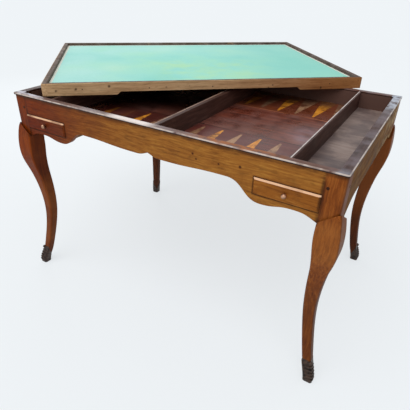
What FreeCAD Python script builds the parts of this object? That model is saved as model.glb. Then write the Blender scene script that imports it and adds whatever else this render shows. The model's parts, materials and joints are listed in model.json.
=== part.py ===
"""Tric-trac table: a walnut box with a board and two drawers on four cabriole legs, under a loose lid.

Millimetres. +X runs along the table to the right, +Y to the back and +Z up. The origin lies on the floor
under the middle of the box. The lid lies turned across the box, as it is left while the board is in use.
"""
import FreeCAD
import Part
import math
import os
from FreeCAD import Vector

# Box
length = 1120.0              # outside of the box along X
width = 760.0                # outside of the box along Y
rim_height = 720.0           # floor to the top of the rim
long_wall = 20.0             # thickness of the front and back aprons
end_wall = 25.0              # thickness of the left and right aprons
rim_thickness = 6.0          # cap strip that lies on the aprons and posts
rim_overhang = 1.5
rim_corner_radius = 6.0
rim_edge_radius = 1.5
well_depth = 61.0            # rim top to the playing surface
floor_thickness = 6.0
floor_tongue = 6.0           # how far the floor boards stand in the grooves of the back and the ends

# Aprons, with every edge given as its drop below the rim top
cusp_drop = 84.0             # small peak in the middle of the long aprons
cusp_slope = 0.4
lobe_drop = 95.0
lobe_x = 50.0
crown_drop = 87.5            # shallow arch between the lobes and the drawers
crown_from_ear = 100.0
ear_drop = 139.0             # deep lobe below the inner end of a drawer
ear_from_post = 152.0
drawer_arch_drop = 127.5
drawer_arch_from_post = 65.0
apron_end_drop = 144.0       # where every apron meets a post
apron_end_slope = 0.45
end_crown_drop = 114.0       # flat middle of the left and right aprons
end_crown_half = 165.0
apron_edge_radius = 2.0
edge_ease = 0.5              # share of a stretch of edge over which it leaves its end's slope

# Apron tenons and their pegs
tenon_thickness = 8.0
tenon_length = 27.0
tenon_top_drop = 18.0
tenon_bottom_drop = 132.0
tenon_clearance = 0.2
peg_diameter = 8.0
peg_length = 17.0
peg_proud = 0.5
peg_inset = 10.0             # from the joint line to the peg's axis
peg_drop = 44.5

# Legs
post = 50.0                  # square post between the aprons
post_corner_radius = 13.0
waist_drop = 104.0           # where the knee starts at the outer corner
leg_curve = (                # share of the height below the waist, middle of the square section
    (1.000, -24.0, 52.0, 10.0),      # beyond the box faces, its side, its corner radius
    (0.962, -20.8, 58.0, 8.0),
    (0.875, -19.5, 66.5, 7.0),
    (0.783, -20.0, 62.0, 7.0),
    (0.695, -27.0, 50.0, 6.5),
    (0.609, -34.0, 44.5, 9.0),
    (0.522, -38.5, 40.0, 9.0),
    (0.425, -39.5, 36.0, 8.0),
    (0.316, -34.5, 32.5, 7.0),
    (0.166, -21.0, 29.5, 6.0),
    (0.080, -10.5, 28.0, 6.0),
    (0.035, -3.0, 27.5, 6.0),
    (0.000, -0.8, 26.0, 5.0),
)
leg_leans = {                # how far each foot stands out from the curve, along X and along Y
    "front_left": (17.0, 2.5),
    "front_right": (11.7, -30.4),
    "back_left": (-7.0, -10.3),
    "back_right": (-12.5, -22.4),
}

# Sabots on the toes
sabot_height = 78.0
sabot_wall = 2.0
sabot_heel_height = 14.0
sabot_bead_diameter = 13.0

# Board
centre_partition_x = 14.0
centre_partition_wall = 19.0
left_partition_x = -402.0
right_partition_x = 418.0
end_partition_wall = 9.0
partition_drop = 2.0         # partition tops below the rim top
partition_housing = 5.0      # partition ends let into the long aprons
partition_edge_radius = 2.0
points_per_half = 6
point_length = 212.0
point_gap = 5.0              # between the bases of two points
point_tip_width = 6.0
inlay_thickness = 1.0

# Drawers
drawer_opening_width = 174.0
drawer_top_drop = 65.5
drawer_opening_height = 48.0
drawer_play = 0.6            # all round the front in its opening
drawer_front_thickness = 22.0
drawer_front_proud = 5.0
drawer_front_bevel = 4.0
drawer_side_wall = 9.0
drawer_back_wall = 8.0
drawer_depth = 330.0         # back of the front to the back of the drawer
drawer_lap = 10.0            # drawer sides let into the front
drawer_top_gap = 4.0         # sides below the top of the front
drawer_bottom_thickness = 5.0
drawer_bottom_raise = 6.0
drawer_bottom_groove = 4.5
runner_thickness = 12.0
runner_width = 18.0
runner_guide_wall = 6.0
runner_guide_height = 20.0
runner_gap = 0.3
stop_height = 16.0
stop_depth = 18.0
stop_width = 9.0
knob_diameter = 14.0
knob_neck_diameter = 6.0
knob_rose_diameter = 10.0
knob_rose_thickness = 2.0
knob_reach = 14.0
knob_shank_diameter = 4.0
knob_shank_length = 15.0

# Lid
lid_overhang = 10.0          # beyond the box on every side when the lid is square on it
lid_turn = 41.8              # degrees from square to where it lies
lid_pivot_y = -207.0
lid_seat_gap = 0.3
lid_rail_depth = 40.0
lid_long_rail_width = 16.0
lid_end_rail_width = 17.0
lid_rail_edge_radius = 2.0
lid_lip = 10.0               # rails stand this far above the baize
baize_thickness = 1.5
baize_margin = 0.5
lid_panel_thickness = 18.0
lid_tongue_length = 7.0
lid_tongue_thickness = 8.0
relief_depth = 10.0          # finger relief in the lower edge of the long rails
relief_from_end = 238.0
relief_step = 18.0
nail_diameter = 4.0
nail_length = 24.0
nail_proud = 0.3
nails_per_rail = 5
pivot_peg_diameter = 10.0
pivot_peg_clearance = 0.05
pivot_peg_in_rim = 24.0
pivot_peg_in_lid = 9.0
pivot_hole_spare = 0.5
pivot_block_length = 60.0     # block under the panel that the peg stands in
pivot_block_width = 26.0

# Places that follow from the sizes
half_x = length / 2
half_y = width / 2
inner_x = half_x - end_wall
inner_y = half_y - long_wall
apron_top = rim_height - rim_thickness
floor_top = rim_height - well_depth
floor_bottom = floor_top - floor_thickness
shoulder_z = rim_height - apron_end_drop
waist_z = rim_height - waist_drop
post_x = half_x - post
post_y = half_y - post
partition_top = rim_height - partition_drop
opening_top = rim_height - drawer_top_drop
opening_bottom = opening_top - drawer_opening_height
opening_in_x = post_x - drawer_opening_width
lid_half_x = half_x + lid_overhang
lid_half_y = half_y + lid_overhang
lid_bottom = rim_height + lid_seat_gap
lid_top = lid_bottom + lid_rail_depth
lid_inner_x = lid_half_x - lid_end_rail_width
lid_inner_y = lid_half_y - lid_long_rail_width
panel_top = lid_top - lid_lip - baize_thickness
panel_low = panel_top - lid_panel_thickness
pivot_x = -half_x + end_wall / 2
pivot = Vector(pivot_x, lid_pivot_y, rim_height)
up = Vector(0, 0, 1)
far = 4 * length             # longer than anything that is cut


def box(x0, x1, y0, y1, z0, z1):
    return Part.makeBox(x1 - x0, y1 - y0, z1 - z0, Vector(x0, y0, z0))


def save(name, *solids):
    shape = solids[0] if len(solids) == 1 else Part.makeCompound(list(solids))
    shape.exportStep(os.path.join("parts", name + ".step"))


def mirrored_x(shape):
    return shape.mirror(Vector(0, 0, 0), Vector(1, 0, 0))


def mirrored_y(shape):
    return shape.mirror(Vector(0, 0, 0), Vector(0, 1, 0))


def rounded(shape, radius, wanted):
    """Rounds the edges whose middle point passes the test."""
    edges = [edge for edge in shape.Edges if wanted(edge.CenterOfMass)]
    return shape.makeFillet(radius, edges)


def near(a, b):
    return abs(a - b) < 0.01


# Floor boards and partitions

def well_space():
    """Everything inside the walls and above the playing surface."""
    return box(-inner_x, inner_x, -inner_y, inner_y, floor_top, rim_height + rim_thickness)


def floor_space():
    """The slab that all floor boards fill, tongues included."""
    tongue_x = inner_x + floor_tongue
    tongue_y = inner_y + floor_tongue
    return box(-tongue_x, tongue_x, -inner_y, tongue_y, floor_bottom, floor_top)


def partition(x, wall):
    """An upright board that stands on the floor and is let into the front and back walls."""
    board = box(x - wall / 2, x + wall / 2, -inner_y, inner_y, floor_top, partition_top)
    board = rounded(board, partition_edge_radius, lambda p: near(p.z, partition_top) and near(p.y, 0))
    housed_y = inner_y + partition_housing
    ends = box(x - wall / 2, x + wall / 2, -housed_y, housed_y, floor_top, apron_top)
    return board.fuse(ends).removeSplitter()


def point(x, base, side):
    """One inlaid arrow, its base on the front wall for side -1 or the back wall for side 1."""
    base_y = side * inner_y
    tip_y = side * (inner_y - point_length)
    z = floor_top - inlay_thickness
    outline = [(x - base / 2, base_y), (x + base / 2, base_y),
               (x + point_tip_width / 2, tip_y), (x - point_tip_width / 2, tip_y)]
    corners = [Vector(px, py, z) for px, py in outline]
    return Part.Face(Part.makePolygon(corners + corners[:1])).extrude(Vector(0, 0, inlay_thickness))


def points(x0, x1):
    """The arrows of one half in two woods: pale and amber alternate, and face the other wood."""
    pitch = (x1 - x0) / points_per_half
    pale = []
    amber = []
    for i in range(points_per_half):
        x = x0 + pitch * (i + 0.5)
        front, back = point(x, pitch - point_gap, -1), point(x, pitch - point_gap, 1)
        (pale if i % 2 == 0 else amber).append(front)
        (amber if i % 2 == 0 else pale).append(back)
    return pale, amber


# Aprons

def edge_curve(a, b, slope_a=0.0, slope_b=0.0):
    """A smooth stretch of a shaped edge between two points given as distance and drop."""
    reach = edge_ease * (b[0] - a[0])
    return a, (a[0] + reach, a[1] + reach * slope_a), (b[0] - reach, b[1] - reach * slope_b), b


def apron_board(half, wall, stretches):
    """A board on the plane Y = 0 .. wall, its lower edge the given half outline and the mirror image."""
    edges = []
    for side in (1, -1):
        for poles in stretches:
            curve = Part.BezierCurve()
            curve.setPoles([Vector(side * x, 0, rim_height - drop) for x, drop in poles])
            edges.append(curve.toShape())
    low_z = rim_height - stretches[-1][-1][1]
    low = [Vector(side * half, 0, low_z) for side in (-1, 1)]
    high = [Vector(side * half, 0, apron_top) for side in (-1, 1)]
    edges += [Part.makeLine(low[n], high[n]) for n in (0, 1)]
    edges.append(Part.makeLine(high[0], high[1]))
    face = Part.Face(Part.Wire(Part.__sortEdges__(edges)))
    board = face.extrude(Vector(0, wall, 0))
    return rounded(board, apron_edge_radius,
                   lambda p: near(p.y, 0) and p.z < apron_top - 1 and abs(p.x) < half - 1)


def tenon(half, wall, z0, z1, grow):
    """Tenons on both ends of a board that lies on the plane Y = 0 .. wall."""
    y0 = (wall - tenon_thickness) / 2 - grow
    y1 = y0 + tenon_thickness + 2 * grow
    right = box(half, half + tenon_length + grow, y0, y1, z0 - grow, z1 + grow)
    return [mirrored_x(right), right]


def tenon_spans(split):
    """Heights of the tenons: one tall tenon, or two where a drawer opening reaches the post."""
    top = rim_height - tenon_top_drop
    bottom = rim_height - tenon_bottom_drop
    if split:
        margin = 3.0 * tenon_clearance
        return [(opening_top + margin, top), (bottom, opening_bottom - margin)]
    return [(bottom, top)]


def long_stretches():
    ear_x = post_x - ear_from_post
    arch_x = post_x - drawer_arch_from_post
    crown_x = ear_x - crown_from_ear
    return [
        edge_curve((0, cusp_drop), (lobe_x, lobe_drop), cusp_slope),
        edge_curve((lobe_x, lobe_drop), (crown_x, crown_drop)),
        edge_curve((crown_x, crown_drop), (ear_x, ear_drop)),
        edge_curve((ear_x, ear_drop), (arch_x, drawer_arch_drop)),
        edge_curve((arch_x, drawer_arch_drop), (post_x, apron_end_drop), 0.0, apron_end_slope),
    ]


def end_stretches():
    return [
        edge_curve((0, end_crown_drop), (end_crown_half, end_crown_drop)),
        edge_curve((end_crown_half, end_crown_drop), (post_y, apron_end_drop), 0.0, apron_end_slope),
    ]


def front_place(shape):
    """From the plane Y = 0 .. wall to the front of the box."""
    placed = shape.copy()
    placed.translate(Vector(0, -half_y, 0))
    return placed


def right_place(shape):
    """From the plane Y = 0 .. wall to the right end of the box."""
    placed = shape.copy()
    placed.rotate(Vector(0, 0, 0), up, 90)
    placed.translate(Vector(half_x, 0, 0))
    return placed


def tenon_pegs():
    """One peg through each tenon, a little proud of the post."""
    z = rim_height - peg_drop
    long_x = post_x + peg_inset
    end_y = post_y + peg_inset
    radius = peg_diameter / 2
    whole = peg_length + peg_proud
    pegs = []
    for sx in (-1, 1):
        for sy in (-1, 1):
            face = Vector(sx * long_x, sy * (half_y + peg_proud), z)
            pegs.append(Part.makeCylinder(radius, whole, face, Vector(0, -sy, 0)))
            face = Vector(sx * (half_x + peg_proud), sy * end_y, z)
            pegs.append(Part.makeCylinder(radius, whole, face, Vector(-sx, 0, 0)))
    return pegs


# Legs and sabots, all made for the front right corner

def leg_section(share, middle, side, radius, lean):
    """A rounded square at a share of the waist height, its middle moved out by its part of the lean."""
    z = share * waist_z
    x = half_x + middle + lean[0] * (1 - share)
    y = -half_y - middle - lean[1] * (1 - share)
    square = Part.makePlane(side, side, Vector(x - side / 2, y - side / 2, z))
    prism = square.extrude(up)
    prism = rounded(prism, radius, lambda p: near(p.z, z + 0.5))
    return [face.OuterWire for face in prism.Faces if near(face.CenterOfMass.z, z)][0]


def diagonal_wedge(profile):
    """A prism whose outline lies in the corner's diagonal plane and which runs far to both sides."""
    across = Vector(1, 1, 0).normalize()
    outward = Vector(1, -1, 0).normalize()
    corner = Vector(half_x, -half_y, 0)
    corners = [corner + outward * out + up * z - across * far for out, z in profile]
    return Part.Face(Part.makePolygon(corners + corners[:1])).extrude(across * (2 * far))


def leg(lean):
    knee = Part.makeLoft([leg_section(*row, lean) for row in leg_curve], True, False)
    slope = (waist_z - shoulder_z) / (post / math.sqrt(2))
    ledge = [(post, waist_z + slope * post), (post, far), (-2 * post, far), (-2 * post, shoulder_z),
             (-post / math.sqrt(2), shoulder_z)]
    knee = knee.cut(diagonal_wedge(ledge))
    column = box(post_x, half_x, -half_y, -post_y, shoulder_z - post / 2, apron_top)
    column = rounded(column, post_corner_radius, lambda p: near(p.x, half_x) and near(p.y, -half_y))
    whole = column.fuse(knee).removeSplitter()
    whole = whole.cut(box(-far, post_x, -far, far, shoulder_z, far))
    whole = whole.cut(box(-far, far, -post_y, far, shoulder_z, far))
    return whole.cut(well_space())


def leg_place(z, lean, reach):
    """A place low on the leg, between two rows of its curve: reach 1 is the outer corner, -1 the heel."""
    share = z / waist_z
    for high, low in zip(leg_curve, leg_curve[1:]):
        if low[0] <= share <= high[0]:
            part = (share - low[0]) / (high[0] - low[0])
            middle, side = [low[n] + part * (high[n] - low[n]) for n in (1, 2)]
            out = middle + reach * side / 2
            return Vector(half_x + out + lean[0] * (1 - share), -half_y - out - lean[1] * (1 - share), z)


def outward_reach(place):
    """How far a place lies beyond the box's corner along its diagonal."""
    return (place.x - half_x - place.y - half_y) / math.sqrt(2)


def sabot(foot, lean):
    """A thin shoe on the outer faces of the toe, its top edge falling along the inner faces to the heel."""
    rows = [row for row in leg_curve if row[0] * waist_z < 2 * sabot_height]
    shoe = Part.makeLoft([leg_section(share, middle, side + 2 * sabot_wall, radius + sabot_wall, lean)
                          for share, middle, side, radius in rows], True, False)
    middle = outward_reach(leg_place(sabot_height, lean, 0))
    heel = outward_reach(leg_place(sabot_heel_height, lean, -1)) - math.sqrt(2) * sabot_wall
    outside = 2 * post
    kept = [(heel, -post), (outside, -post), (outside, sabot_height), (middle, sabot_height),
            (heel, sabot_heel_height)]
    shoe = shoe.common(diagonal_wedge(kept))
    radius = sabot_bead_diameter / 2
    seat = leg_place(sabot_height - radius, lean, 1)
    bead = Part.makeSphere(radius, seat + Vector(-1, 1, 0) * (radius / 4))
    return shoe.fuse(bead).cut(foot).removeSplitter()


# Rim

def rim_strip(half, depth, wall, mitre):
    """A cap strip along X with eased top edges, its ends mitred and its outer corners rounded."""
    y0, y1 = -depth - rim_overhang, -depth + wall
    strip = box(-half, half, y0, y1, apron_top, rim_height)
    strip = rounded(strip, rim_edge_radius, lambda p: near(p.z, rim_height) and near(p.x, 0))
    r = rim_corner_radius
    for side in (-1, 1):
        tip = Vector(side * (half - mitre), y1, 0)
        outward = Vector(side * mitre, y0 - y1, 0)
        corners = [tip - outward, tip + outward * 2, tip + outward * 2 + Vector(side * half, 0, 0),
                   tip - outward + Vector(side * half, 0, 0)]
        strip = strip.cut(Part.Face(Part.makePolygon(corners + corners[:1])).extrude(up * far))
        centre = side * (half - r)
        square = box(min(side * half, centre), max(side * half, centre), y0, y0 + r, 0, far)
        round_post = Part.makeCylinder(r, far, Vector(centre, y0 + r, 0), up)
        strip = strip.cut(square.cut(round_post))
    return strip


def rim_strips():
    """Front, right, back and left cap strips."""
    end_mitre = end_wall + rim_overhang
    long_mitre = long_wall + rim_overhang
    front = rim_strip(half_x + rim_overhang, half_y, long_wall, end_mitre)
    right = rim_strip(half_y + rim_overhang, half_x, end_wall, long_mitre)
    right.rotate(Vector(0, 0, 0), up, 90)
    return front, right, mirrored_y(front), mirrored_x(right)


# Drawers, made for the right hand side

def drawer_spans():
    """Faces of the drawer: left, right, bottom, top, front and back of its front, and its end."""
    x0 = opening_in_x + drawer_play
    x1 = post_x - drawer_play
    z0 = opening_bottom + drawer_play
    z1 = opening_top - drawer_play
    y0 = -half_y - drawer_front_proud
    y1 = y0 + drawer_front_thickness
    return x0, x1, z0, z1, y0, y1, y1 + drawer_depth


def drawer():
    x0, x1, z0, z1, y0, y1, y2 = drawer_spans()
    side_top = z1 - drawer_top_gap
    bottom_z = z0 + drawer_bottom_raise
    in_x0, in_x1 = x0 + drawer_side_wall, x1 - drawer_side_wall
    front = box(x0, x1, y0, y1, z0, z1)
    bevelled = [edge for edge in front.Edges if near(edge.CenterOfMass.y, y0)]
    front = front.makeChamfer(drawer_front_bevel, bevelled)
    left = box(x0, in_x0, y1 - drawer_lap, y2, z0, side_top)
    right = box(in_x1, x1, y1 - drawer_lap, y2, z0, side_top)
    back = box(in_x0, in_x1, y2 - drawer_back_wall, y2, bottom_z + drawer_bottom_thickness, side_top)
    bottom = box(in_x0 - drawer_bottom_groove, in_x1 + drawer_bottom_groove, y1 - drawer_bottom_groove, y2,
                 bottom_z, bottom_z + drawer_bottom_thickness)
    knob = drawer_knob((x0 + x1) / 2, y0, (z0 + z1) / 2)
    front = front.cut(left).cut(right).cut(bottom).cut(knob)
    return {"front": front, "inner_side": left.cut(bottom), "outer_side": right.cut(bottom), "back": back,
            "bottom": bottom, "knob": knob}


def drawer_knob(x, y, z):
    """A turned knob on a round rose, with a plain shank that stands in the drawer front."""
    face = Vector(x, y, z)
    back = Vector(0, 1, 0)
    ball = knob_diameter / 2
    middle = knob_reach - ball
    knob = Part.makeSphere(ball, face - back * middle, back)
    knob = knob.fuse(Part.makeCylinder(knob_neck_diameter / 2, middle, face - back * middle, back))
    rose = face - back * knob_rose_thickness
    knob = knob.fuse(Part.makeCylinder(knob_rose_diameter / 2, knob_rose_thickness, rose, back))
    knob = knob.fuse(Part.makeCylinder(knob_shank_diameter / 2, knob_shank_length, face, back))
    return knob.removeSplitter()


def drawer_runners():
    """Two runners under the drawer's sides, each with a guide beside it, from apron to apron."""
    x0, x1, z0 = drawer_spans()[:3]
    top = z0 - runner_gap
    low = top - runner_thickness
    guide_top = top + runner_guide_height
    left_guide, right_guide = x0 - runner_gap, x1 + runner_gap
    left = box(left_guide, x0 + runner_width, -inner_y, inner_y, low, top)
    left = left.fuse(box(left_guide - runner_guide_wall, left_guide, -inner_y, inner_y, low, guide_top))
    right = box(x1 - runner_width, right_guide, -inner_y, inner_y, low, top)
    right = right.fuse(box(right_guide, right_guide + runner_guide_wall, -post_y, post_y, low, guide_top))
    return [left.removeSplitter(), right.removeSplitter()]


def drawer_stop():
    """A block on the inner runner, just behind the closed drawer."""
    x0, _, z0, *_, end = drawer_spans()
    top = z0 - runner_gap
    return box(x0, x0 + stop_width, end + runner_gap, end + runner_gap + stop_depth, top, top + stop_height)


def drawer_opening():
    return box(opening_in_x, post_x, -far, 0, opening_bottom, opening_top)


# Lid, made square on the box and then turned about its peg

def turned_lid(shape):
    placed = shape.copy()
    placed.rotate(pivot, up, lid_turn)
    return placed


def relief():
    """The space cut from under a long rail, its ends drawn up in two smooth steps."""
    outer = lid_half_x - relief_from_end
    inner = outer - relief_step
    z0, z1 = lid_bottom, lid_bottom + relief_depth
    steps = []
    for side in (-1, 1):
        curve = Part.BezierCurve()
        middle = side * (outer + inner) / 2
        curve.setPoles([Vector(side * outer, 0, z0), Vector(middle, 0, z0), Vector(middle, 0, z1),
                        Vector(side * inner, 0, z1)])
        steps.append(curve.toShape())
    top = Part.makeLine(Vector(-inner, 0, z1), Vector(inner, 0, z1))
    foot = Part.makeLine(Vector(-outer, 0, z0), Vector(outer, 0, z0))
    face = Part.Face(Part.Wire(Part.__sortEdges__([steps[0], top, steps[1], foot])))
    face.translate(Vector(0, -far, 0))
    return face.extrude(Vector(0, 2 * far, 0))


def lid_panel():
    """The board between the rails, with a tongue all round that stands in their grooves."""
    tongue_z = (panel_top + panel_low) / 2 - lid_tongue_thickness / 2
    board = box(-lid_inner_x, lid_inner_x, -lid_inner_y, lid_inner_y, panel_low, panel_top)
    reach_x, reach_y = lid_inner_x + lid_tongue_length, lid_inner_y + lid_tongue_length
    tongue = box(-reach_x, reach_x, -reach_y, reach_y, tongue_z, tongue_z + lid_tongue_thickness)
    return board.fuse(tongue).removeSplitter()


def lid_rails(panel, nails):
    """End rails over the whole width, and long rails between them with a relief for the fingers."""
    left = box(-lid_half_x, -lid_inner_x, -lid_half_y, lid_half_y, lid_bottom, lid_top)
    left = rounded(left, lid_rail_edge_radius, lambda p: near(p.x, -lid_half_x) or near(p.z, lid_top))
    front = box(-lid_inner_x, lid_inner_x, -lid_half_y, -lid_inner_y, lid_bottom, lid_top)
    front = rounded(front, lid_rail_edge_radius, lambda p: near(p.z, lid_top) and near(p.x, 0))
    front = front.cut(relief())
    rails = {"lid_rail_left": left, "lid_rail_right": mirrored_x(left), "lid_rail_front": front,
             "lid_rail_back": mirrored_y(front)}
    for name in rails:
        rails[name] = rails[name].cut(panel)
        for nail in nails:
            rails[name] = rails[name].cut(nail)
    return rails


def lid_nails():
    """Nails through the long rails into the edge of the panel."""
    z = (panel_top + panel_low) / 2
    pitch = 2 * lid_inner_x / nails_per_rail
    nails = []
    for side in (-1, 1):
        for n in range(nails_per_rail):
            head = Vector(-lid_inner_x + pitch * (n + 0.5), side * (lid_half_y + nail_proud), z)
            nails.append(Part.makeCylinder(nail_diameter / 2, nail_length, head, Vector(0, -side, 0)))
    return nails


def pivot_block():
    """The block under the panel, against the left rail."""
    x0 = -lid_inner_x
    y0 = lid_pivot_y - pivot_block_length / 2
    return box(x0, x0 + pivot_block_width, y0, y0 + pivot_block_length, lid_bottom, panel_low)


def pivot_peg(grow, spare):
    """The upright peg in the left rim, or with grow and spare the hole that it stands in."""
    low = pivot - up * (pivot_peg_in_rim + spare)
    return Part.makeCylinder(pivot_peg_diameter / 2 + grow,
                             pivot_peg_in_rim + lid_seat_gap + pivot_peg_in_lid + 2 * spare, low, up)


def build():
    partitions = {
        "partition_left": partition(left_partition_x, end_partition_wall),
        "partition_centre": partition(centre_partition_x, centre_partition_wall),
        "partition_right": partition(right_partition_x, end_partition_wall),
    }
    pegs = tenon_pegs()
    peg_hole = pivot_peg(pivot_peg_clearance, pivot_hole_spare)
    opening = drawer_opening()

    # Walls
    long_board = apron_board(post_x, long_wall, long_stretches())
    end_board = apron_board(post_y, end_wall, end_stretches())
    split, whole = tenon_spans(True), tenon_spans(False)[0]
    front = front_place(long_board.fuse([t for span in split for t in tenon(post_x, long_wall, *span, 0)]))
    back = mirrored_y(front_place(long_board.fuse(tenon(post_x, long_wall, *whole, 0))))
    right = right_place(end_board.fuse(tenon(post_y, end_wall, *whole, 0)))
    aprons = {
        "apron_front": front.cut(opening).cut(mirrored_x(opening)),
        "apron_back": back,
        "apron_right": right,
        "apron_left": mirrored_x(right).cut(peg_hole),
    }
    for name, shape in aprons.items():
        for cutter in [floor_space()] + list(partitions.values()) + pegs:
            shape = shape.cut(cutter)
        save(name, shape.removeSplitter())

    # Legs, each with its mortises and peg holes
    grow = tenon_clearance
    mortises = [front_place(t) for span in split for t in tenon(post_x, long_wall, *span, grow)]
    mortises += [mirrored_y(front_place(t)) for t in tenon(post_x, long_wall, *whole, grow)]
    side_mortises = [right_place(t) for t in tenon(post_y, end_wall, *whole, grow)]
    mortises += side_mortises + [mirrored_x(t) for t in side_mortises]
    for name, lean in leg_leans.items():
        plain = leg(lean)
        shoe = sabot(plain, lean)
        if name.startswith("back"):
            plain, shoe = mirrored_y(plain), mirrored_y(shoe)
        if name.endswith("left"):
            plain, shoe = mirrored_x(plain), mirrored_x(shoe)
        for cutter in mortises + pegs + [floor_space()]:
            plain = plain.cut(cutter)
        save("leg_" + name, plain)
        save("sabot_" + name, shoe)
    save("tenon_pegs", *pegs)

    # Rim
    names = ("rim_front", "rim_right", "rim_back", "rim_left")
    for name, strip in zip(names, rim_strips()):
        save(name, strip.cut(peg_hole) if name == "rim_left" else strip)

    # Board
    tongue_x = inner_x + floor_tongue
    bounds = [-tongue_x, left_partition_x, centre_partition_x, right_partition_x, tongue_x]
    floors = ["floor_left_tray", "floor_left_board", "floor_right_board", "floor_right_tray"]
    fields = {
        "floor_left_board": (left_partition_x + end_partition_wall / 2,
                             centre_partition_x - centre_partition_wall / 2),
        "floor_right_board": (centre_partition_x + centre_partition_wall / 2,
                              right_partition_x - end_partition_wall / 2),
    }
    for name, x0, x1 in zip(floors, bounds, bounds[1:]):
        board = floor_space().common(box(x0, x1, -far, far, 0, far))
        if name in fields:
            pale, amber = points(*fields[name])
            board = board.cut(Part.makeCompound(pale + amber))
            side = name.split("_")[1]
            save("points_pale_" + side, *pale)
            save("points_amber_" + side, *amber)
        save(name, board)
    for name, board in partitions.items():
        save(name, board)

    # Drawers
    pieces = drawer()
    runners = drawer_runners()
    stop = drawer_stop()
    for name, shape in pieces.items():
        save("right_drawer_" + name, shape)
        save("left_drawer_" + name, mirrored_x(shape))
    save("right_drawer_runners", *runners)
    save("left_drawer_runners", *[mirrored_x(runner) for runner in runners])
    save("drawer_stops", stop, mirrored_x(stop))

    # Lid
    panel = lid_panel()
    nails = lid_nails()
    baize = box(-lid_inner_x + baize_margin, lid_inner_x - baize_margin, -lid_inner_y + baize_margin,
                lid_inner_y - baize_margin, panel_top, panel_top + baize_thickness)
    for name, rail in lid_rails(panel, nails).items():
        save(name, turned_lid(rail))
    save("lid_pivot_block", turned_lid(pivot_block().cut(peg_hole)))
    for nail in nails:
        panel = panel.cut(nail)
    save("lid_panel", turned_lid(panel))
    save("lid_baize", turned_lid(baize))
    save("lid_rail_nails", *[turned_lid(nail) for nail in nails])
    save("lid_pivot_peg", pivot_peg(0.0, 0.0))


os.makedirs("parts", exist_ok=True)
build()
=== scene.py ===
"""Walnut tric-trac table: its finishes, the baize and sabot ribs that dress it, and the light it stands in.

Metres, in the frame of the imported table: +X along the table, +Y to the back, +Z up from the floor.
"""
import json
import math

import bpy
import numpy as np
from mathutils import Matrix, Vector


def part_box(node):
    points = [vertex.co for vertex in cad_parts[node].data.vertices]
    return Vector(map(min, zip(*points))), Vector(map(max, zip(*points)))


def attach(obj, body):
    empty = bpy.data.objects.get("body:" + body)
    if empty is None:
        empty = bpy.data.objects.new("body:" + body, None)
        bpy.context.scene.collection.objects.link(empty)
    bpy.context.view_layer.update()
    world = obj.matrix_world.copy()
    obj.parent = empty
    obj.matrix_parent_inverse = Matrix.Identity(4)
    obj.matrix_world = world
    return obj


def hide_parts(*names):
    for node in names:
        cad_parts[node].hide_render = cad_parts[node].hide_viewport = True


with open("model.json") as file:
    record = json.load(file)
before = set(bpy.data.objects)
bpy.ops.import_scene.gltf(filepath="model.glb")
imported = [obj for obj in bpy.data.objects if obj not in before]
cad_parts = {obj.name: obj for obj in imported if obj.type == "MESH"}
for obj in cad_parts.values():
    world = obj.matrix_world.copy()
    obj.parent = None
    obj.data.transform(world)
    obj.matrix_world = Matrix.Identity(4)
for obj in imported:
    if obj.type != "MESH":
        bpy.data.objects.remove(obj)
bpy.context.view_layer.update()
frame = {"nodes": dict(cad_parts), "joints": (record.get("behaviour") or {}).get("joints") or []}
parts = frame["nodes"]

MM = 0.001
swing = next(joint for joint in frame["joints"] if joint["name"] == "lid_swing")
LID_PIVOT = Vector(swing["pos_m"])
LID_TURN = -math.radians(swing["range_deg"][0])


def points_of(node):
    """All the points of a node's mesh, one row each."""
    mesh = parts[node].data
    flat = np.empty(3 * len(mesh.vertices))
    mesh.vertices.foreach_get("co", flat)
    return flat.reshape(-1, 3)


def swung(points, angle):
    """Points turned about the lid's peg."""
    c, s = math.cos(angle), math.sin(angle)
    x, y = points[..., 0] - LID_PIVOT.x, points[..., 1] - LID_PIVOT.y
    return np.stack([LID_PIVOT.x + c * x - s * y, LID_PIVOT.y + s * x + c * y, points[..., 2]], -1)


# Places on the built table that the wear follows; the well reaches 2 mm into its walls
HALF_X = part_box("rim_right")[1].x
HALF_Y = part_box("rim_back")[1].y
RIM_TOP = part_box("rim_front")[1].z
APRON_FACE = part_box("apron_front")[0].y
WELL_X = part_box("rim_right")[0].x + 2 * MM
WELL_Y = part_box("rim_back")[0].y + 2 * MM
WELL_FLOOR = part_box("floor_right_board")[1].z
BOARD_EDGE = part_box("floor_right_board")[0].y
POINT_TIPS = 130 * MM
DRAWER_LOW, DRAWER_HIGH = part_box("right_drawer_front")
PARTITION_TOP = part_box("partition_right")[1].z
LID_END = swung(points_of("lid_rail_right"), -LID_TURN)[:, 0].max()
LID_SIDE = swung(points_of("lid_rail_back"), -LID_TURN)[:, 1].max()
CLOTH = swung(points_of("lid_baize"), -LID_TURN)

# Which way the grain runs: the turn that lays it along the pattern's X
GRAIN = {"x": (0, 0, 0), "y": (0, 0, math.pi / 2), "z": (0, math.pi / 2, 0)}


def linear(hex_colour):
    """An sRGB hex colour as linear RGBA."""
    srgb = np.array([int(hex_colour[i:i + 2], 16) for i in (1, 3, 5)]) / 255
    rgb = np.where(srgb <= 0.04045, srgb / 12.92, ((srgb + 0.055) / 1.055) ** 2.4)
    return (*rgb.tolist(), 1.0)


def add(tree, kind, inputs, out=0, stops=(), **settings):
    """Adds a node and returns one of its outputs. An input is a socket to link, a hex colour or a value."""
    made = tree.nodes.new("ShaderNode" + kind)
    for name, value in settings.items():
        setattr(made, name, value)
    for key, value in inputs.items():
        if isinstance(value, bpy.types.NodeSocket):
            tree.links.new(value, made.inputs[key])
        else:
            made.inputs[key].default_value = linear(value) if isinstance(value, str) else value
    for n, (place, colour) in enumerate(stops):
        element = made.color_ramp.elements[n] if n < 2 else made.color_ramp.elements.new(place)
        element.position = place
        element.color = linear(colour)
    return made.outputs[out] if made.outputs else None


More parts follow.
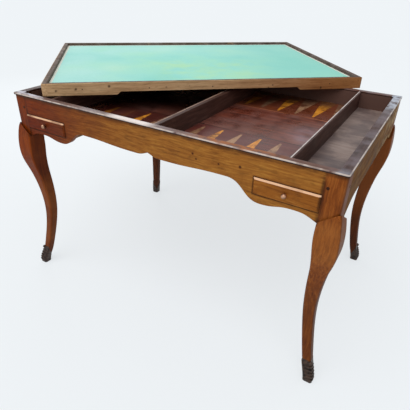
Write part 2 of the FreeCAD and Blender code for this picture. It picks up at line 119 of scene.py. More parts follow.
def finish(name, shade):
    """A material: shade takes its empty node tree and returns the surface."""
    made = bpy.data.materials.new(name)
    made.use_nodes = True
    tree = made.node_tree
    tree.nodes.clear()
    add(tree, "OutputMaterial", {"Surface": shade(tree)})
    return made


def lid_place(tree):
    """Where a point of the lid lies when the table is closed: its place turned back about the peg."""
    place = add(tree, "TexCoord", {}, out="Object")
    place = add(tree, "Mapping", {"Vector": place, "Location": LID_PIVOT, "Rotation": (0, 0, LID_TURN)},
                vector_type="TEXTURE")
    return add(tree, "VectorMath", {0: place, 1: LID_PIVOT}, operation="ADD")


def band(tree, place, axis, low, high, soft):
    """One where a coordinate lies between low and high, fading out over soft on both sides."""
    value = add(tree, "SeparateXYZ", {0: place}, out=axis)
    off = add(tree, "Math", {0: value, 1: (low + high) / 2}, operation="SUBTRACT")
    off = add(tree, "Math", {0: off}, operation="ABSOLUTE")
    half = (high - low) / 2
    return add(tree, "MapRange", {"Value": off, "From Min": half + soft, "From Max": half},
               interpolation_type="SMOOTHSTEP")


def slope(tree, place, axis, start, full, amount=1.0, least=0.0, shape="SMOOTHSTEP"):
    """A mask that grows along a coordinate, from the least at start to the whole amount at full."""
    value = add(tree, "SeparateXYZ", {0: place}, out=axis)
    return add(tree, "MapRange", {"Value": value, "From Min": start, "From Max": full, "To Min": least,
                                  "To Max": amount}, interpolation_type=shape)


def patches(tree, place, size, low, high, amount):
    """Broken patches of a size in millimetres.

    There are none where the noise is below low, and they have their whole amount where it is above high.
    """
    noise = add(tree, "TexNoise", {"Vector": place, "Scale": 1 / (size * MM), "Detail": 5.0})
    return add(tree, "MapRange", {"Value": noise, "From Min": low, "From Max": high, "To Max": amount})


def stained(tree, colour, stain, *masks):
    """A stain over a colour, as strong as all its masks multiplied."""
    strength = masks[0]
    for mask in masks[1:]:
        strength = add(tree, "Math", {0: strength, 1: mask}, operation="MULTIPLY")
    return add(tree, "Mix", {0: strength, 6: colour, 7: stain}, out=2, data_type="RGBA")


def edged(tree, place, colour, stain, half_x, half_y, wide, soft, rub):
    """A stain along the four edges of a rectangle about the middle, wide to both sides of each edge."""
    for axis, reach in (("X", half_x), ("Y", half_y)):
        for edge in (-reach, reach):
            line = band(tree, place, axis, edge - wide, edge + wide, soft)
            colour = stained(tree, colour, stain, line, rub)
    return colour


def tinted(tree, place, colour, tint, start, full, amount=1.0):
    """A colour multiplied by a tint that grows along X, from nothing at start to its amount at full."""
    strength = slope(tree, place, "X", start, full, amount)
    return add(tree, "Mix", {0: strength, 6: colour, 7: tint}, out=2, data_type="RGBA", blend_type="MULTIPLY")


def wood(name, dark, mid, light, grain, turned=False, streak=7.0, cloud=110.0, blotch=0.35, rough=(0.42, 0.6),
         sheen=0.1, coat=0.0, depth=0.25, wear=()):
    """Old wood: long streaks and short pores along the grain, and slow clouds of colour.

    Streak and cloud are widths in millimetres and blotch is how much the clouds show. Turned lays the pattern
    along the lid, and the place in it is then that of the closed lid. Each wear takes the tree, the place and
    the colour so far, and returns the colour.
    """
    def shade(tree):
        place = lid_place(tree) if turned else add(tree, "TexCoord", {}, out="Object")
        along = add(tree, "Mapping", {"Vector": place, "Rotation": GRAIN[grain]})
        # The grain wanders by up to 30 mm to the side
        drift = add(tree, "TexNoise", {"Vector": along, "Scale": 0.5 / (cloud * MM), "Detail": 2.0},
                    out="Color")
        drift = add(tree, "VectorMath", {0: drift, 1: (0.0, 30 * MM, 30 * MM)}, operation="MULTIPLY")
        bent = add(tree, "VectorMath", {0: along, 1: drift}, operation="ADD")
        # A streak is twenty times as long as wide. A pore is a quarter as wide, coarser than real, to show
        across = 1 / (streak * MM)
        long_way = add(tree, "Mapping", {"Vector": bent, "Scale": (across * 0.05, across, across)})
        streaks = add(tree, "TexNoise", {"Vector": long_way, "Scale": 1.0, "Detail": 6.0, "Roughness": 0.65})
        short_way = add(tree, "Mapping", {"Vector": bent, "Scale": (across * 0.3, across * 4, across * 4)})
        pores = add(tree, "TexNoise", {"Vector": short_way, "Scale": 1.0, "Detail": 3.0})
        clouds = add(tree, "TexNoise", {"Vector": along, "Scale": 1 / (cloud * MM), "Detail": 4.0})
        tone = add(tree, "Math", {0: clouds, 1: blotch, 2: streaks}, operation="MULTIPLY_ADD")
        middle = 0.5 + 0.5 * blotch
        spread = 0.3
        tone = add(tree, "MapRange", {"Value": tone, "From Min": middle - spread,
                                      "From Max": middle + spread})
        colour = add(tree, "ValToRGB", {0: tone}, stops=((0.0, dark), (0.5, mid), (1.0, light)))
        flecks = add(tree, "MapRange", {"Value": pores, "From Min": 0.55, "From Max": 0.75, "To Max": 0.6})
        colour = stained(tree, colour, dark, flecks)
        for worn in wear:
            colour = worn(tree, place, colour)
        gloss = add(tree, "MapRange", {"Value": clouds, "From Min": 0.35, "From Max": 0.7, "To Min": rough[0],
                                       "To Max": rough[1]})
        height = add(tree, "Math", {0: pores, 1: 0.5, 2: streaks}, operation="MULTIPLY_ADD")
        normal = add(tree, "Bump", {"Height": height, "Strength": depth, "Distance": 0.5 * MM})
        return add(tree, "BsdfPrincipled", {
            "Base Color": colour, "Roughness": gloss, "Normal": normal, "Specular IOR Level": sheen,
            "Coat Weight": coat, "Coat Roughness": 0.25})
    return finish(name, shade)


def redder_left(tint):
    """A tint for the left end of the front, which is redder and darker than its golden middle."""
    def wear(tree, place, colour):
        return tinted(tree, place, colour, tint, 0.12, -0.5, 0.9)
    return wear


def flecked(tree, place, colour):
    """Small dark flecks along the grain of the show wood."""
    drawn = add(tree, "Mapping", {"Vector": place, "Scale": (0.3, 1, 1)})
    return stained(tree, colour, "#3a1a08", patches(tree, drawn, 9, 0.5, 0.74, 0.4))


def painted_knee_highlight(tree, place, colour):
    """A painted highlight of lighter gold on the bulge of the knee, in broken patches."""
    knee = band(tree, place, "Z", 0.48, 0.56, 0.07)
    return stained(tree, colour, "#b4743a", knee, patches(tree, place, 70, 0.3, 0.6, 0.28))


def painted_side_shade(tree, place, colour):
    """Painted shade on the faces of each leg that turn away from the front, where the light comes from."""
    facing = add(tree, "TexCoord", {}, out="Normal")
    return stained(tree, colour, "#2a1306", slope(tree, facing, "Y", -0.85, -0.4, 0.42))


def darker_down(tree, place, colour):
    """The legs grow darker the lower they are."""
    return stained(tree, colour, "#2c1408", slope(tree, place, "Z", 0.52, 0.2, 0.4))


def rubbed_calf(tree, place, colour):
    """The calf of the left front leg, rubbed to a warmer brown than the rest of it."""
    left_leg = band(tree, place, "X", -0.8, -0.4, 10 * MM)
    calf = band(tree, place, "Z", 0.12, 0.34, 0.1)
    return stained(tree, colour, "#9a5a2a", left_leg, calf, patches(tree, place, 70, 0.1, 0.5, 0.4))


def joint_grime_and_shade(tree, place, colour):
    """Dark wax and painted shade where the front meets the posts, and a painted shadow under the rim."""
    smudge = patches(tree, place, 40, 0.2, 0.5, 0.75)
    box_height = band(tree, place, "Z", RIM_TOP - 140 * MM, RIM_TOP, 10 * MM)
    for joint in (-DRAWER_HIGH.x, DRAWER_HIGH.x):
        line = band(tree, place, "X", joint - 1 * MM, joint + 1 * MM, 7 * MM)
        colour = stained(tree, colour, "#331708", box_height, line, smudge)
    # A painted shadow under the overhanging rim
    painted_rim_shadow = band(tree, place, "Z", RIM_TOP - 10 * MM, RIM_TOP, 8 * MM)
    return stained(tree, colour, "#4a260f", painted_rim_shadow, smudge)


def opening_grime_and_shade(tree, place, colour):
    """A dark line round each drawer opening: partly wax, partly painted shade in the gap."""
    tall = band(tree, place, "Z", DRAWER_LOW.z, DRAWER_HIGH.z, 6 * MM)
    for ends in ((DRAWER_LOW.x, DRAWER_HIGH.x), (-DRAWER_HIGH.x, -DRAWER_LOW.x)):
        wide = band(tree, place, "X", *ends, 6 * MM)
        colour = stained(tree, colour, "#331708", wide, tall)
    return colour


def dented(tree, place, colour):
    """Four old dents in the front, filled with dark wax: their place along, up and size, in millimetres."""
    for x, z, size in ((154, 672, 3.0), (165, 659, 2.5), (234, 662, 2.5), (296, 670, 3.5)):
        spot = (x * MM, APRON_FACE, z * MM)
        away = add(tree, "VectorMath", {0: place, 1: spot}, out="Value", operation="DISTANCE")
        dent = add(tree, "MapRange", {"Value": away, "From Min": 1.6 * size * MM,
                                      "From Max": 0.6 * size * MM})
        colour = stained(tree, colour, "#4a250f", dent)
    return colour


def worm_holes(tree, place, colour):
    """Dark flight holes, up to five millimetres across and well apart."""
    cells = add(tree, "TexVoronoi", {"Vector": place, "Scale": 1 / (55 * MM)}, out="Distance")
    hole = add(tree, "MapRange", {"Value": cells, "From Min": 0.06, "From Max": 0.03, "To Max": 0.85})
    return stained(tree, colour, "#241007", hole)


def painted_well_shade(tree, place, colour):
    """Painted shade on the faces that look into the box: a dark grey brown in patches."""
    walls = band(tree, place, "X", -WELL_X, WELL_X, 1 * MM)
    ends = band(tree, place, "Y", -WELL_Y, WELL_Y, 1 * MM)
    well = band(tree, place, "Z", WELL_FLOOR, RIM_TOP, 1 * MM)
    return stained(tree, colour, "#664c44", walls, ends, well, patches(tree, place, 60, 0.0, 0.4, 0.95))


def rim_wear_and_painted_light(tree, place, colour):
    """Greyed wax in patches, bare pale places where hands rest, painted reflections in pale grey blue patches
    and a painted near white highlight on the front, pale rubbed edges, and painted shade on the outer side.
    """
    colour = stained(tree, colour, "#85787d", patches(tree, place, 50, 0.42, 0.66, 0.5))
    bare = patches(tree, place, 22, 0.36, 0.56, 0.9)
    front = band(tree, place, "Y", -HALF_Y, -HALF_Y + 30 * MM, 5 * MM)
    right = band(tree, place, "X", HALF_X - 30 * MM, HALF_X, 5 * MM)
    # Rubbed patches: which strip, where along it, and the tone that it is rubbed to. The pale grey blue and
    # lilac ones are painted reflections laid as rubbed wax, the orange one a rubbed tone
    for strip, axis, low, high, soft, rubbed in (
            (front, "X", -0.60, -0.50, 0.10, "#cfccd6"),
            (front, "X", 0.22, 0.32, 0.14, "#a4602e"),
            (right, "Y", 0.26, 0.40, 0.14, "#b6bcc8"),
            (right, "Y", -0.42, -0.39, 0.05, "#8a8a94")):
        colour = stained(tree, colour, rubbed, strip, bare, band(tree, place, axis, low, high, soft))
    # A near white band on the front strip: a painted highlight where a window's reflection lies
    painted_highlight_band = band(tree, place, "X", -0.11, -0.02, 0.06)
    colour = stained(tree, colour, "#efe2dc", front, painted_highlight_band, patches(tree, place, 40, 0.15, 0.45, 0.95))
    colour = edged(tree, place, colour, "#d6c6bb", HALF_X, HALF_Y, 1.5 * MM, 1.5 * MM,
                   patches(tree, place, 35, 0.3, 0.55, 0.85))
    # Painted shade on the rim's outer side, below its top 3.5 mm
    return stained(tree, colour, "#2e1a12", band(tree, place, "Z", 0, RIM_TOP - 3.5 * MM, 0.8 * MM))


def board_wear_and_painted_light(tree, place, colour):
    """Stains over the board, a dark joint before the near points and a pale one before the far points.

    A painted lilac sheen lies to the right, and the left half is darker, most of all where the lid's shadow
    is painted over it.
    """
    colour = stained(tree, colour, "#84605a", patches(tree, place, 120, 0.44, 0.66, 0.55))
    colour = stained(tree, colour, "#3c1410", patches(tree, place, 55, 0.5, 0.7, 0.7))
    # Lilac patches to the right, before the middle: a painted sheen
    right_end = band(tree, place, "X", 0.37, 0.45, 0.10)
    before_middle = band(tree, place, "Y", -0.12, 0.0, 0.06)
    bloom = patches(tree, place, 50, 0.35, 0.65, 0.3)
    colour = stained(tree, colour, "#a295a6", right_end, before_middle, bloom)
    worn = patches(tree, place, 80, 0.2, 0.6, 0.7)
    near_points = band(tree, place, "Y", BOARD_EDGE, -POINT_TIPS, 4 * MM)
    colour = stained(tree, colour, "#5a2420", near_points, worn)
    left_half = band(tree, place, "X", -0.5, -0.02, 0.04)
    colour = stained(tree, colour, "#1e0c08", left_half, patches(tree, place, 140, 0.1, 0.5, 0.5))
    # A painted shadow of the lid over the far side of the left half
    painted_lid_shadow = band(tree, place, "Y", 0.02, 0.4, 0.2)
    colour = stained(tree, colour, "#120806", left_half, painted_lid_shadow, patches(tree, place, 140, 0.0, 0.4, 0.75))
    far_points = band(tree, place, "Y", POINT_TIPS, -BOARD_EDGE, 4 * MM)
    colour = stained(tree, colour, "#74381a", far_points, worn)
    smudge = patches(tree, place, 90, 0.3, 0.5, 0.9)
    for joint, half, stain in ((-POINT_TIPS, 1.5 * MM, "#24100c"), (POINT_TIPS, 2 * MM, "#b06a4c")):
        line = band(tree, place, "Y", joint - half, joint + half, half)
        colour = stained(tree, colour, stain, line, smudge)
    return colour


def inlay_wear_and_painted_shadow(tree, place, colour):
    """Dark polish over the points in blots, darker at the walls and on the outer near ones, and a painted
    shadow of the lid over the first far ones.
    """
    colour = stained(tree, colour, "#552716", patches(tree, place, 32, 0.46, 0.66, 0.9))
    wall_patches = patches(tree, place, 60, 0.1, 0.5, 0.85)
    for wall in (BOARD_EDGE, -BOARD_EDGE):
        foot = band(tree, place, "Y", wall - 40 * MM, wall + 40 * MM, 80 * MM)
        colour = stained(tree, colour, "#5c3524", foot, wall_patches)
    near = band(tree, place, "Y", BOARD_EDGE, 0, 10 * MM)
    last = band(tree, place, "X", 0.35, 0.45, 0.01)
    colour = stained(tree, colour, "#3a1a10", near, last)
    first_three = band(tree, place, "X", -0.4, -0.21, 0.02)
    colour = stained(tree, colour, "#5a2a18", near, first_three, patches(tree, place, 60, 0.1, 0.5, 0.8))
    # A painted shadow of the lid over the first far points right of the centre
    far = band(tree, place, "Y", 0, -BOARD_EDGE, 10 * MM)
    lid_shadow_by_centre = band(tree, place, "X", 0.0, 0.14, 0.06)
    return stained(tree, colour, "#2a120c", far, lid_shadow_by_centre, patches(tree, place, 60, 0.2, 0.6, 0.5))


def bevel_wear_and_highlight(tree, place, colour):
    """The top bevel of a drawer front, pale: partly rubbed wood, partly a painted highlight where it faces
    the light.
    """
    top = band(tree, place, "Z", DRAWER_HIGH.z - 3.6 * MM, DRAWER_HIGH.z, 0.8 * MM)
    front = band(tree, place, "Y", DRAWER_LOW.y - 1 * MM, DRAWER_LOW.y + 4 * MM, 1 * MM)
    return stained(tree, colour, "#f2c39c", top, front, patches(tree, place, 60, 0.2, 0.45, 0.9))


def pale_top_edges(tree, place, colour):
    """The top left edge of each partition, made pale, and most of all on the right one."""
    top = band(tree, place, "Z", PARTITION_TOP - 3 * MM, PARTITION_TOP + 1 * MM, 1 * MM)
    rub = patches(tree, place, 60, 0.2, 0.5, 0.9)
    for side, width, pale in (("left", 3, "#a88a78"), ("centre", 5, "#a88a78"), ("right", 3.5, "#e0d5d0")):
        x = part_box("partition_" + side)[0].x
        edge = band(tree, place, "X", x - 1 * MM, x + width * MM, 1 * MM)
        colour = stained(tree, colour, pale, top, edge, rub)
    return colour


def mottled(tree, place, colour):
    """Dark damp stains over the tray floors, most of all towards the front."""
    colour = stained(tree, colour, "#4e3f40", patches(tree, place, 75, 0.42, 0.62, 0.6))
    front = band(tree, place, "Y", -0.4, -0.25, 0.2)
    return stained(tree, colour, "#4a3c3e", front, patches(tree, place, 50, 0.3, 0.6, 0.6))


def knots(tree, place, colour):
    """Dark knots and stains, up to a centimetre across and drawn out along the lid."""
    warped = add(tree, "TexNoise", {"Vector": place, "Scale": 1 / (30 * MM)}, out="Color")
    warped = add(tree, "VectorMath", {0: warped, 1: (20 * MM, 8 * MM, 8 * MM)}, operation="MULTIPLY")
    warped = add(tree, "VectorMath", {0: place, 1: warped}, operation="ADD")
    cells = add(tree, "TexVoronoi", {"Vector": warped, "Scale": 1 / (38 * MM)}, out="Distance")
    knot = add(tree, "MapRange", {"Value": cells, "From Min": 0.15, "From Max": 0.07, "To Max": 0.8})
    return stained(tree, colour, "#2e1c10", knot)


def browner_right(tree, place, colour):
    """The lid's rails are greyer to the left and browner to the right."""
    return tinted(tree, place, colour, "#c4a283", -0.1, 0.5)


def painted_light_right(tree, place, colour):
    """Painted light on the back leg nearer the light: a warmer brown, most of all from its knee upwards."""
    right = slope(tree, place, "X", 0.3, 0.5, 0.55, shape="LINEAR")
    return stained(tree, colour, "#8a4c20", right, band(tree, place, "Z", 0.42, RIM_TOP, 0.3))


def far_end_scuffs_and_reflections(tree, place, colour):
    """Light scuffs and painted reflections on the ends of the box, more of them towards the back."""
    back = slope(tree, place, "Y", 0.0, 0.35, least=0.1, shape="LINEAR")
    return stained(tree, colour, "#b39a70", back, patches(tree, place, 32, 0.42, 0.6, 0.8))


def grime_and_shade_inside(tree, place, colour):
    """Tops and inner faces of the lid's rails, all but their outer faces: dark with old polish on the tops
    and painted shade on the inner faces, with greyer patches over them.
    """
    ends = band(tree, place, "X", -LID_END + 3 * MM, LID_END - 3 * MM, 2 * MM)
    sides = band(tree, place, "Y", -LID_SIDE + 3 * MM, LID_SIDE - 3 * MM, 2 * MM)
    colour = stained(tree, colour, "#4a3c37", ends, sides, patches(tree, place, 50, 0.1, 0.4, 0.92))
    return stained(tree, colour, "#8a7e78", ends, sides, patches(tree, place, 40, 0.4, 0.66, 0.5))


def metal(name, dark, light, rough, size, metallic):
    """Cast metal under a skin of patina: two colours in uneven clouds of a size in millimetres."""
    def shade(tree):
        place = add(tree, "TexCoord", {}, out="Object")
        clouds = add(tree, "TexNoise", {"Vector": place, "Scale": 1 / (size * MM), "Detail": 4.0})
        colour = add(tree, "ValToRGB", {0: clouds}, stops=((0.35, dark), (0.7, light)))
        gloss = add(tree, "MapRange", {"Value": clouds, "To Min": rough, "To Max": rough + 0.2})
        normal = add(tree, "Bump", {"Height": clouds, "Strength": 0.3, "Distance": 0.4 * MM})
        return add(tree, "BsdfPrincipled", {"Base Color": colour, "Roughness": gloss, "Normal": normal,
                                            "Metallic": metallic})
    return finish(name, shade)


# Waxed walnut: fine brown streaks in gold, still red at the left end, with dark wax in dents, and dark wax
# with painted shade at the joints, round the drawers and under the rim
apron_front = wood("waxed_walnut_front", "#6c3a12", "#9a6124", "#ba8238", "x", streak=5.0,
                   wear=(redder_left("#ac5a34"), flecked, dented, joint_grime_and_shade, opening_grime_and_shade))
# The same walnut on the drawers, a little redder, with painted shade at the joints and a pale line on the top
# bevel, partly rubbed bare and partly a painted highlight
drawer_front = wood("waxed_walnut_drawers", "#643410", "#94571b", "#b07532", "x", streak=5.0,
                    wear=(redder_left("#a24412"), flecked, joint_grime_and_shade, bevel_wear_and_highlight))
# Walnut at the back: darker, greyer and duller than the front, with painted shade on its faces inside the box
apron_back = wood("waxed_walnut_back", "#301a0c", "#6a4426", "#8c6238", "x", sheen=0.05, wear=(painted_well_shade,))
# Scuffed walnut: dull olive brown in broad streaks, with light scrapes and painted reflections towards the
# back, and painted shade on its faces inside the box
apron_end = wood("scuffed_walnut_ends", "#36200c", "#66401c", "#865c2e", "y", streak=14.0, blotch=0.7,
                 sheen=0.03, rough=(0.6, 0.75), wear=(far_end_scuffs_and_reflections, painted_well_shade))
# Waxed walnut with its grain down the leg: red brown, a painted highlight of gold on the knee, painted shade
# on the sides turned from the front, and darker towards the toe
leg_front = wood("walnut_front_legs_painted_light", "#4a1f08", "#814214", "#a86226", "z", streak=5.0,
                 wear=(painted_knee_highlight, redder_left("#deaa6c"), worm_holes, painted_side_shade, darker_down,
                       rubbed_calf, joint_grime_and_shade))
# The back legs, a darker copy in painted shade: nearly black brown, with painted light warming the right one
leg_back = wood("walnut_back_legs_painted_shade", "#1e0a03", "#4c220a", "#723a16", "z",
                wear=(painted_light_right, painted_well_shade))
# Walnut rubbed by hands and sleeves: a grey lilac bloom over brown, pale bare edges and a soft sheen, with
# painted reflections and a painted highlight on top, and painted shade on the outer sides
RIM_FINISH = {"rough": (0.35, 0.5), "wear": (rim_wear_and_painted_light,)}
rim_long = wood("rubbed_walnut_rim_long", "#34190f", "#613c2e", "#7c5c4e", "x", sheen=0.2, **RIM_FINISH)
# The end strips of the rim: the same, but darker and less rubbed
rim_end = wood("rubbed_walnut_rim_ends", "#2a1512", "#442c27", "#5e4742", "y", sheen=0.14, **RIM_FINISH)
# French polished walnut: wine red in broad streaks, and smooth enough to mirror the room a little, with a
# painted lilac sheen to the right and a painted shadow of the lid on the left half
board_wood = wood("polished_walnut_board", "#34110a", "#703626", "#965644", "x", streak=14.0, cloud=160.0,
                  blotch=0.6, rough=(0.24, 0.4), sheen=0.35, coat=0.08, depth=0.1, wear=(board_wear_and_painted_light,))
# Dark walnut partitions: brown black sides, and pale top edges
partition_wood = wood("dark_walnut_partitions", "#281610", "#472d26", "#684b41", "y", sheen=0.15,
                      wear=(pale_top_edges,))
# Walnut dulled by damp in the trays: grey mauve in broad blotches
tray_wood = wood("grey_walnut_trays", "#745f56", "#927d74", "#a6948b", "x", streak=12.0, blotch=0.9,
                 sheen=0.3, depth=0.15, wear=(mottled,))
# Planed oak that was never polished: light brown and matt
plain_oak = wood("bare_oak_inside", "#5c4024", "#86633c", "#a88558", "y", sheen=0.1, rough=(0.65, 0.8))
# Cleft oak pegs, dark with wax: small dots that pin the posts
peg_oak = wood("dark_oak_pegs", "#22100a", "#381d10", "#503018", "z")
# Fruitwood points, scraped flush and polished: gone nearly grey under blots of dark polish, with a painted
# shadow of the lid over the first far points
INLAID = {"grain": "y", "streak": 6.0, "rough": (0.28, 0.4), "sheen": 0.5, "depth": 0.05,
          "wear": (inlay_wear_and_painted_shadow,)}
pale_inlay = wood("pale_fruitwood_points", "#7e5438", "#a87e5e", "#bd9674", **INLAID)
# Boxwood points, polished with them: still glowing amber
amber_inlay = wood("amber_boxwood_points", "#b05f14", "#df902a", "#f2ae4a", **INLAID)
# Dry, unpolished walnut of the lid's rails: tan, knotty and matt outside, grimy on top, with painted shade on
# the inner faces
DRY = ("#7e5b38", "#c8a177", "#e0bf94")
KNOTTY = {"turned": True, "rough": (0.6, 0.75), "depth": 0.4, "wear": (browner_right, knots, grime_and_shade_inside)}
lid_long = wood("dry_walnut_lid_long_rails", *DRY, "x", **KNOTTY)
# The same on the end rails, with its grain along them
lid_end = wood("dry_walnut_lid_end_rails", *DRY, "y", **KNOTTY)
# Bare walnut under the cloth: plain brown and matt, seen only from below
lid_board = wood("bare_walnut_lid_panel", "#4a3218", "#7c5a34", "#a07c50", "x", turned=True,
                 rough=(0.65, 0.8))
# Cast brass worn by fingers: a pinkish gold gleam, brown in the hollows
brass = metal("worn_brass_knobs", "#6b4630", "#d8ab8c", 0.28, 6.0, 1.0)
# Cast bronze under black patina: nearly black, with a soft gleam on what stands proud
bronze = metal("dark_bronze_sabots", "#170d08", "#4f3a2e", 0.32, 8.0, 0.5)
# Forged iron nails, rusted: dull dark brown dots
iron = metal("rusty_iron_nails", "#1d1512", "#3d2a20", 0.6, 2.0, 0.5)

CORNERS = ("front_left", "front_right", "back_left", "back_right")
DRAWER_BOARDS = ("inner_side", "outer_side", "back", "bottom", "runners")
FINISHES = (
    (apron_front, ["apron_front"]),
    (apron_back, ["apron_back"]),
    (apron_end, ["apron_left", "apron_right"]),
    (leg_front, ["leg_front_left", "leg_front_right"]),
    (leg_back, ["leg_back_left", "leg_back_right"]),
    (rim_long, ["rim_front", "rim_back"]),
    (rim_end, ["rim_left", "rim_right"]),
    (board_wood, ["floor_left_board", "floor_right_board"]),
    (partition_wood, ["partition_left", "partition_centre", "partition_right"]),
    (tray_wood, ["floor_left_tray", "floor_right_tray"]),
    (pale_inlay, ["points_pale_left", "points_pale_right"]),
    (amber_inlay, ["points_amber_left", "points_amber_right"]),
    (drawer_front, ["left_drawer_front", "right_drawer_front"]),
    (plain_oak, ["left_drawer_" + board for board in DRAWER_BOARDS]),
    (plain_oak, ["right_drawer_" + board for board in DRAWER_BOARDS]),
    (plain_oak, ["drawer_stops"]),
    (peg_oak, ["tenon_pegs", "lid_pivot_peg"]),
    (lid_long, ["lid_rail_front", "lid_rail_back"]),
    (lid_end, ["lid_rail_left", "lid_rail_right"]),
    (lid_board, ["lid_panel", "lid_pivot_block"]),
    (brass, ["left_drawer_knob", "right_drawer_knob"]),
    (bronze, ["sabot_" + corner for corner in CORNERS]),
    (iron, ["lid_rail_nails"]),
)
for made_of, nodes in FINISHES:
    for node in nodes:
        parts[node].data.materials.clear()
        parts[node].data.materials.append(made_of)


def baize_cloth(tree):
    """Faded wool baize: sea green, bleached to the left and back, bluer to the right, with a pale cut edge.

    Yellow clouds lie in the middle towards the front, and the wool is matt with a faint sheen.
    """
    place = lid_place(tree)
    fade = add(tree, "TexNoise", {"Vector": place, "Scale": 1 / (240 * MM), "Detail": 5.0})
    colour = add(tree, "ValToRGB", {0: fade}, stops=((0.30, "#86dbce"), (0.48, "#9be4d3"), (0.62, "#a5e8cd"),
                                                     (0.76, "#b6ebca")))
    bleached = patches(tree, place, 300, 0.2, 0.7, 0.7)
    for axis, low, high in (("X", -0.7, -0.45), ("Y", 0.3, 0.5)):
        colour = stained(tree, colour, "#c0efe8", band(tree, place, axis, low, high, 0.3), bleached)
    middle = band(tree, place, "X", -0.08, 0.18, 0.16)
    near = band(tree, place, "Y", -0.3, -0.08, 0.14)
    colour = stained(tree, colour, "#beecac", middle, near, patches(tree, place, 80, 0.4, 0.66, 0.6))
    colour = stained(tree, colour, "#84d2c2", slope(tree, place, "X", -0.1, 0.5, 0.6))
    # The wool's fibres, drawn 4 mm wide so that they show
    fibre = add(tree, "TexNoise", {"Vector": place, "Scale": 1 / (4 * MM), "Detail": 3.0})
    grey = add(tree, "MapRange", {"Value": fibre, "From Min": 0.35, "From Max": 0.75, "To Max": 0.15})
    colour = stained(tree, colour, "#6cbba8", grey)
    colour = edged(tree, place, colour, "#efecdc", CLOTH[:, 0].max(), CLOTH[:, 1].max(), 7 * MM, 3 * MM,
                   patches(tree, place, 40, 0.15, 0.45, 0.9))
    normal = add(tree, "Bump", {"Height": fibre, "Strength": 0.3, "Distance": 0.5 * MM})
    return add(tree, "BsdfPrincipled", {
        "Base Color": colour, "Roughness": 0.95, "Normal": normal, "Specular IOR Level": 0.1,
        "Sheen Weight": 0.2, "Sheen Roughness": 0.6})


def piece(name, points, faces, made_of, body):
    """A smooth mesh in the table's frame that rides on a body."""
    mesh = bpy.data.meshes.new(name)
    mesh.from_pydata(points.tolist(), [], faces)
    mesh.polygons.foreach_set("use_smooth", np.ones(len(mesh.polygons), bool))
    mesh.materials.append(made_of)
    made = bpy.data.objects.new(name, mesh)
    bpy.context.scene.collection.objects.link(made)
    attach(made, body)
    return made


def grid_faces(rows, columns):
    """Quads over points in rows, facing up when rows run along +Y and columns along +X."""
    start = (np.arange(rows - 1)[:, None] * columns + np.arange(columns - 1)).ravel()
    return np.stack([start, start + 1, start + columns + 1, start + columns], 1).tolist()


def baize():
    """The cloth over the panel: z is just under the cloth's height, plus two crossed sines.

    Each sine is a tenth of a millimetre high, the first bent by a third one across it.
    """
    low, high = CLOTH.min(0), CLOTH.max(0)
    rows, columns = 100, 150
    across, back = np.meshgrid(np.linspace(low[0], high[0], columns), np.linspace(low[1], high[1], rows))
    crest = 0.1 * MM
    # Crests lie about 370 mm apart along the cloth and 270 mm apart across it
    wave = crest * (np.sin(across * 17 + 1.3 * np.sin(back * 9)) + np.sin(back * 23 + across * 5))
    points = swung(np.stack([across, back, high[2] - 2 * crest + wave], 2), LID_TURN)
    made = piece("baize", points.reshape(-1, 3), grid_faces(rows, columns),
                 finish("faded_wool_baize", baize_cloth), "lid")
    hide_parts("lid_baize")


baize()


def sabot_ribs(corner):
    """Five bars round the two outer faces of a toe, each a circle swept along a path that turns the corner.

    The path is two straight runs with a quarter circle between them, laid on the sabot's own outer faces at
    the height of the bar. It falls towards both ends with the square of the way along it, and the circle's
    radius is the root of one less the fourth power of that way, so each bar ends in a point.
    """
    outward = np.array([1 if corner.endswith("right") else -1, 1 if corner.startswith("back") else -1])
    sabot = points_of("sabot_" + corner)
    # How far the sabot reaches out at each level, from its points within 4 mm of it
    levels = np.linspace(2, 70, 18) * MM
    near = np.abs(sabot[:, 2] - levels[:, None]) < 4 * MM
    outer = np.where(near[:, :, None], sabot[:, :2] * outward, -np.inf).max(1)
    heights = np.linspace(14, 58, 5) * MM
    edge_x, edge_y = (np.interp(heights, levels, reach)[:, None] for reach in outer.T)
    run_length = 22 * MM
    turn = 6 * MM
    thick = 2.4 * MM
    fall = 4 * MM
    # The way runs from -1 to 1, and reaches the end of the quarter circle at 1 / 2.2
    way = np.linspace(-1, 1, 41)
    sharp = 2.2
    turned = np.pi / 4 * (1 + np.clip(way * sharp, -1, 1))
    run = run_length * np.clip(np.abs(way) * sharp - 1, 0, None) / (sharp - 1)
    path = np.stack([edge_x - turn + turn * np.sin(turned) - run * (way < 0),
                     edge_y - turn + turn * np.cos(turned) - run * (way > 0),
                     heights[:, None] - fall * way ** 2], -1)
    radius = thick * np.sqrt(1 - way ** 4)
    around = np.linspace(0, 2 * np.pi, 10, endpoint=False)[:, None]
    aside = np.stack([np.sin(turned), np.cos(turned), 0 * turned], 1)[:, None]
    circle = np.cos(around) * aside + np.sin(around) * np.array([0, 0, 1])
    tube = path[:, :, None] + radius[:, None, None] * circle
    tube[..., :2] *= outward
    # Rings between the two points of a bar, then the points themselves
    bars, rings, sides = len(heights), len(way) - 2, len(around)
    points = np.concatenate([tube[:, 1:-1].reshape(bars, -1, 3), tube[:, [0, -1], 0]], 1)
    here, beside = np.arange(sides), np.roll(np.arange(sides), -1)
    row = sides * np.arange(rings - 1)[:, None]
    quads = np.stack([row + here, row + beside, row + sides + beside, row + sides + here], -1).reshape(-1, 4)
    last, pole = sides * (rings - 1), np.full(sides, sides * rings)
    caps = np.concatenate([np.stack([beside, here, pole], 1),
                           np.stack([last + here, last + beside, pole + 1], 1)])
    # A toe that is mirrored once has its faces the other way round
    order = slice(None, None, outward.prod())
    first = points.shape[1] * np.arange(bars)[:, None, None]
    faces = (first + quads[:, order]).reshape(-1, 4).tolist()
    faces += (first + caps[:, order]).reshape(-1, 3).tolist()
    piece("sabot_ribs_" + corner, points.reshape(-1, 3), faces, bronze, "table")


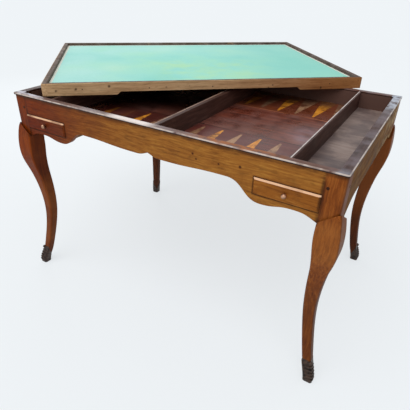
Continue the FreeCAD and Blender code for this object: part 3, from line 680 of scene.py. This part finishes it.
for corner in CORNERS:
    sabot_ribs(corner)

BACKDROP = "#f5f9fc"


def seen_bright(tree):
    """One for rays that show the surroundings: to the camera, in a mirror and through glass."""
    path = add(tree, "LightPath", {}).node.outputs
    seen = add(tree, "Math", {0: path["Is Camera Ray"], 1: path["Is Glossy Ray"]}, operation="MAXIMUM")
    return add(tree, "Math", {0: seen, 1: path["Is Transmission Ray"]}, operation="MAXIMUM")


def pale_floor(tree):
    """A pale floor that keeps the table's shadow, and looks lighter than the light it gives back."""
    plain = add(tree, "BsdfDiffuse", {"Color": "#eef2f4"})
    bright = add(tree, "Emission", {"Color": BACKDROP, "Strength": 1.0})
    share = add(tree, "Math", {0: seen_bright(tree), 1: 0.67}, operation="MULTIPLY")
    return add(tree, "MixShader", {0: share, 1: plain, 2: bright})


def studio():
    """Pale floor, an even sky, a broad sun from the front, and a window panel behind on the left."""
    reach = 40.0
    corners = [(-reach, -reach, 0), (reach, -reach, 0), (reach, reach, 0), (-reach, reach, 0)]
    mesh = bpy.data.meshes.new("floor")
    mesh.from_pydata(corners, [], [(0, 1, 2, 3)])
    mesh.materials.append(finish("pale_floor", pale_floor))
    floor = bpy.data.objects.new("floor", mesh)
    bpy.context.scene.collection.objects.link(floor)
    world = bpy.data.worlds.new("studio")
    world.use_nodes = True
    tree = world.node_tree
    tree.nodes.clear()
    # The sky is brighter to look at than it shines on the table
    strength = add(tree, "MapRange", {"Value": seen_bright(tree), "To Min": 0.6, "To Max": 0.93})
    sky = add(tree, "Background", {"Color": BACKDROP, "Strength": strength})
    add(tree, "OutputWorld", {"Surface": sky})
    bpy.context.scene.world = world
    sun = bpy.data.lights.new("sun", "SUN")
    sun.energy = 1.35
    sun.angle = math.radians(60)
    window = bpy.data.lights.new("window", "AREA")
    window.shape = "RECTANGLE"
    window.size = 1.4
    window.size_y = 1.6
    window.energy = 12.0
    for lamp, place, aim in ((sun, Vector((-0.1, -0.8, 1.2)), Vector((0, 0, 0))),
                             (window, Vector((-2.4, 1.9, 1.75)), Vector((0, 0, 0.5)))):
        made = bpy.data.objects.new(lamp.name, lamp)
        made.location = place
        made.rotation_euler = (aim - place).to_track_quat("-Z", "Y").to_euler()
        bpy.context.scene.collection.objects.link(made)


def camera():
    """The photograph's view: where it was taken from, which way it looks, and its slight roll."""
    place = Vector((0.6869, -1.2307, 1.1103))
    yaw, pitch, roll = (math.radians(angle) for angle in (29.92, 30.77, 1.79))
    ahead = Vector((-math.sin(yaw) * math.cos(pitch), math.cos(yaw) * math.cos(pitch), -math.sin(pitch)))
    level = Vector((math.cos(yaw), math.sin(yaw), 0))
    above = level.cross(ahead)
    right = math.cos(roll) * level + math.sin(roll) * above
    up = math.cos(roll) * above - math.sin(roll) * level
    lens = bpy.data.cameras.new("view")
    lens.sensor_width = 36.0
    lens.lens = 35.65
    lens.clip_end = 200.0
    made = bpy.data.objects.new("view", lens)
    turn = Matrix((right, up, -ahead)).transposed()
    made.matrix_world = Matrix.Translation(place) @ turn.to_4x4()
    bpy.context.scene.collection.objects.link(made)
    bpy.context.scene.camera = made


studio()
camera()
bpy.context.scene.view_settings.view_transform = "Standard"
